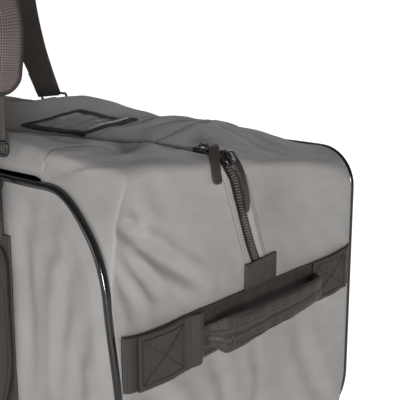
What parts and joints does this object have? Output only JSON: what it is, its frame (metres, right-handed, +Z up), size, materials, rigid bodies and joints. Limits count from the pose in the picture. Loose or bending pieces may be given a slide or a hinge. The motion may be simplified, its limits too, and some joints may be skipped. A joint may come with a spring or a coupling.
{
  "type": "hockey equipment bag",
  "caption": "Soft carry bag with a domed zipped top, piped side panels, webbing haul straps, folding carry handles, end grab handles and a padded shoulder strap.",
  "frame": {"origin": "middle of the bag's footprint, on the floor under the haul straps", "axes": "+X along the bag's length towards the near end, -Y towards the front panel, +Z up"},
  "size_m": [0.7634, 0.3918, 0.7019],
  "materials": {
    "coated_fabric": "matte",
    "piping": "gloss",
    "board": "matte",
    "zip_tape": "matte",
    "zip_teeth": "satin",
    "zip_metal": "satin",
    "trim_fabric": "matte",
    "clear_film": "gloss",
    "hardware": "gloss",
    "webbing": "matte"
  },
  "bodies": {
    "bag": {"front_panel": "coated_fabric", "back_panel": "coated_fabric", "front_piping": "piping", "back_piping": "piping", "bottom_panel": "coated_fabric", "base_board": "board", "near_end_band": "coated_fabric", "near_haul_strap": "webbing", "near_end_strap": "webbing", "near_grab_patches": "webbing", "near_zip_garage": "trim_fabric", "near_end_zip_tapes": "zip_tape", "near_end_zip_teeth": "zip_teeth", "far_end_band": "coated_fabric", "far_haul_strap": "webbing", "far_end_strap": "webbing", "far_grab_patches": "webbing", "far_zip_garage": "trim_fabric", "far_end_zip_tapes": "zip_tape", "far_end_zip_teeth": "zip_teeth", "ring_tabs": "webbing", "ring_keepers": "webbing", "strap_rings": "hardware"},
    "front_flap": {"front_top_flap": "coated_fabric", "front_zip_tape": "zip_tape", "front_zip_teeth": "zip_teeth"},
    "back_flap": {"back_top_flap": "coated_fabric", "back_zip_tape": "zip_tape", "back_zip_teeth": "zip_teeth", "window_binding": "trim_fabric", "window_pane": "clear_film"},
    "slider_a": {"slider_a": "zip_metal"},
    "pull_a": {"slider_a_pull_loop": "zip_metal", "slider_a_pull_tab": "trim_fabric"},
    "slider_b": {"slider_b": "zip_metal"},
    "pull_b": {"slider_b_pull_loop": "zip_metal", "slider_b_pull_tab": "trim_fabric"},
    "front_handle": {"front_carry_handle": "webbing", "front_handle_sleeve": "trim_fabric"},
    "back_handle": {"back_carry_handle": "webbing", "back_handle_sleeve": "trim_fabric"},
    "shoulder_strap": {"snap_hooks": "hardware", "shoulder_webbing": "webbing", "shoulder_pad": "webbing"},
    "near_grip": {"near_grab_grip": "webbing"},
    "far_grip": {"far_grab_grip": "webbing"}
  },
  "joints": [
    {"name": "front_flap_hinge", "type": "hinge", "parent": "bag", "child": "front_flap", "pos_m": [0, -0.17135, 0.367], "axis": [1, 0, 0], "range_deg": [0, 32]},
    {"name": "back_flap_hinge", "type": "hinge", "parent": "bag", "child": "back_flap", "pos_m": [0, 0.17135, 0.367], "axis": [-1, 0, 0], "range_deg": [0, 40]},
    {"name": "slider_a_run", "type": "slide", "parent": "bag", "child": "slider_a", "axis": [-1, 0, 0], "range_m": [0, 0.644]},
    {"name": "slider_a_pull", "type": "hinge", "parent": "slider_a", "child": "pull_a", "pos_m": [0.322, -0.03, 0.3922], "axis": [0, -1, 0], "range_deg": [0, 120]},
    {"name": "slider_b_run", "type": "hinge", "parent": "bag", "child": "slider_b", "pos_m": [0.33, -0.03, 0.358], "axis": [0, 1, 0], "range_deg": [0, 34]},
    {"name": "slider_b_pull", "type": "hinge", "parent": "slider_b", "child": "pull_b", "pos_m": [0.35106, -0.03, 0.38495], "axis": [0, -1, 0], "range_deg": [0, 30]},
    {"name": "front_handle_swing", "type": "hinge", "parent": "bag", "child": "front_handle", "pos_m": [0, -0.184, 0.302], "axis": [-1, 0, 0], "range_deg": [0, 155]},
    {"name": "back_handle_swing", "type": "hinge", "parent": "bag", "child": "back_handle", "pos_m": [0, 0.184, 0.302], "axis": [1, 0, 0], "range_deg": [0, 155]},
    {"name": "shoulder_strap_lean", "type": "hinge", "parent": "bag", "child": "shoulder_strap", "pos_m": [0, 0, 0.371], "axis": [-0.6975, 0.7166, 0], "range_deg": [0, 15]},
    {"name": "near_grip_lift", "type": "hinge", "parent": "bag", "child": "near_grip", "pos_m": [0.3647, 0, 0.24], "axis": [0, -1, 0], "range_deg": [0, 80]},
    {"name": "far_grip_lift", "type": "hinge", "parent": "bag", "child": "far_grip", "pos_m": [-0.3647, 0, 0.24], "axis": [0, 1, 0], "range_deg": [0, 80]}
  ],
  "couplings": [
    {"joint": "slider_b_pull", "follows": "slider_b_run", "ratio": 0.8}
  ]
}
